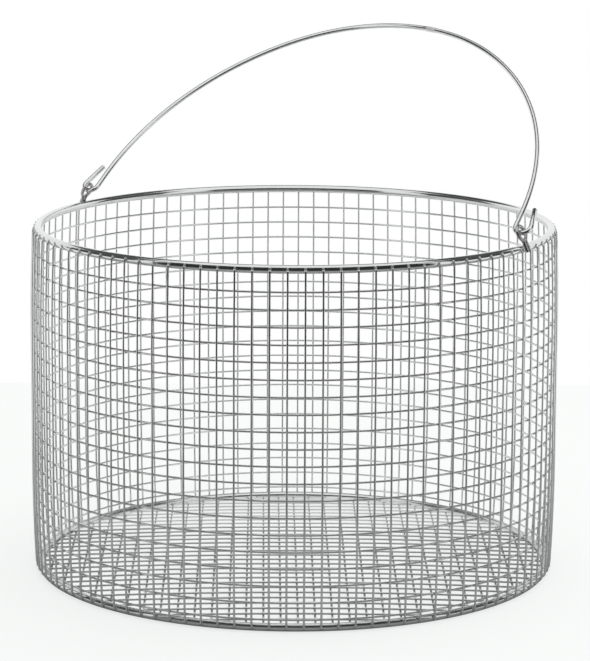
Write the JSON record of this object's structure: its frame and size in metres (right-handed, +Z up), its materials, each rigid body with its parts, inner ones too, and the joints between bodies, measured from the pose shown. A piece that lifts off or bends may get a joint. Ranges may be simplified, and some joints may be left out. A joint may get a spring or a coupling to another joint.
{
  "type": "autoclave basket",
  "caption": "Round open-top laboratory basket of welded stainless wire mesh with thick rim and base rings and a swinging wire bail handle.",
  "frame": {"origin": "on the surface that the basket stands on, below the middle of its floor", "axes": "+Z up, out of the basket's mouth; X along the bail's hinge line, from the left eyelet to the right one; the bail lies back towards +Y"},
  "size_m": [0.2582, 0.2576, 0.2586],
  "materials": {
    "ring_wire": "electropolished stainless steel wire, bright, smooth",
    "mesh_wire": "electropolished stainless steel wire, satin",
    "eyelet_wire": "bent and welded stainless steel wire, satin with slight weld discolouring",
    "bail_wire": "drawn stainless steel wire, bright"
  },
  "bodies": {
    "basket": {"rim_ring": "ring_wire", "base_ring": "ring_wire", "hoop_01": "mesh_wire", "hoop_02": "mesh_wire", "hoop_03": "mesh_wire", "hoop_04": "mesh_wire", "hoop_05": "mesh_wire", "hoop_06": "mesh_wire", "hoop_07": "mesh_wire", "hoop_08": "mesh_wire", "hoop_09": "mesh_wire", "hoop_10": "mesh_wire", "hoop_11": "mesh_wire", "hoop_12": "mesh_wire", "hoop_13": "mesh_wire", "hoop_14": "mesh_wire", "hoop_15": "mesh_wire", "hoop_16": "mesh_wire", "hoop_17": "mesh_wire", "hoop_18": "mesh_wire", "hoop_19": "mesh_wire", "hoop_20": "mesh_wire", "wall_uprights": "mesh_wire", "floor_wires_lower": "mesh_wire", "floor_wires_upper": "mesh_wire", "eyelet_left": "eyelet_wire", "eyelet_right": "eyelet_wire"},
    "bail": {"bail_handle": "bail_wire"}
  },
  "joints": [
    {"name": "bail_swing", "type": "hinge", "parent": "basket", "child": "bail", "pos_m": [0, 0, 0.17559], "axis": [1, 0, 0], "range_deg": [-40.5, 144.3]}
  ]
}
